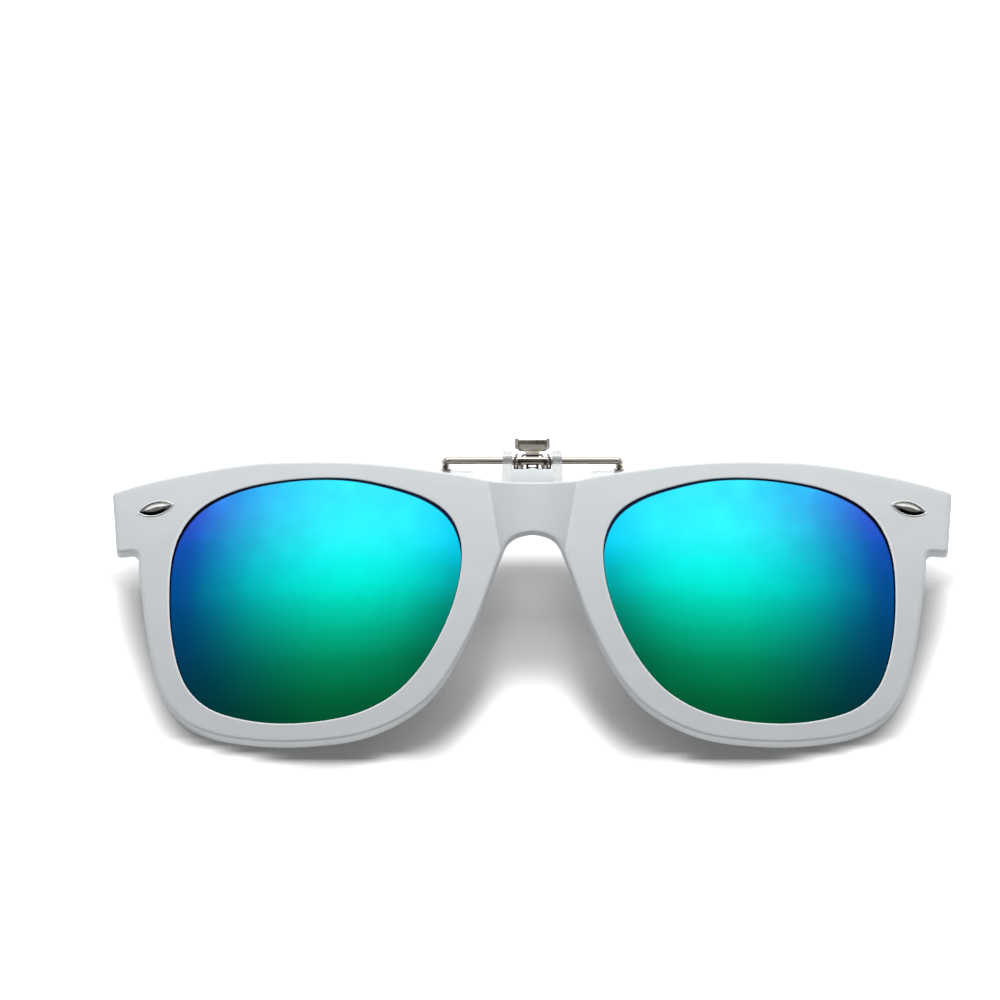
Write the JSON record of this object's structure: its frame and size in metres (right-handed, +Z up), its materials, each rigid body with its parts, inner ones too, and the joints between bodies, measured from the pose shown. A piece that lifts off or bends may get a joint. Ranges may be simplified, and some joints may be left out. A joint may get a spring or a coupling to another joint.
{
  "type": "flip-up clip-on sunglasses",
  "caption": "Flip-up clip-on sunglasses: a wrapped plastic front with mirror lenses hangs by a clear bracket on a wire hinge, behind which a sprung padded clip grips spectacles",
  "frame": {"origin": "centre of the bounding box in X and Y, lowest point in Z, lying on its back on a table", "axes": "X to the side and across the mirror plane, Y from the lower rims towards the clip, Z up out of the lenses"},
  "size_m": [0.145, 0.0574, 0.0173],
  "materials": {
    "frame_white": "satin injection-moulded white plastic",
    "lens_mirror": "polished lens with a blue-green mirror coating",
    "polished_steel": "polished, plated",
    "brushed_nickel": "satin nickel plate",
    "screw_steel": "bright steel",
    "spring_steel": "dark spring wire",
    "clear_plastic": "clear hard plastic",
    "soft_clear": "clear soft plastic"
  },
  "bodies": {
    "clip": {"hinge_wire": "polished_steel", "front_pad_left": "soft_clear", "front_pad_right": "soft_clear", "clip_base": "brushed_nickel", "pivot_pin": "screw_steel", "torsion_spring": "spring_steel"},
    "front": {"front_frame": "frame_white", "lens_left": "lens_mirror", "lens_right": "lens_mirror", "rivet_left": "polished_steel", "rivet_right": "polished_steel", "hinge_bracket": "clear_plastic", "bracket_screw_left": "screw_steel", "bracket_screw_right": "screw_steel"},
    "lever": {"thumb_lever": "brushed_nickel", "rear_wire": "polished_steel", "rear_pad_left": "soft_clear", "rear_pad_right": "soft_clear"}
  },
  "joints": [
    {"name": "flip", "type": "hinge", "parent": "clip", "child": "front", "pos_m": [0, 0.02163, 0.0128], "axis": [-1, 0, 0], "range_deg": [0, 90]},
    {"name": "lever_press", "type": "hinge", "parent": "clip", "child": "lever", "pos_m": [0, 0.02223, 0.0103], "axis": [1, 0, 0], "range_deg": [0, 20], "stiffness_Nm_per_rad": 0.02, "springref_deg": -45.84, "deforming": ["torsion_spring"]}
  ]
}
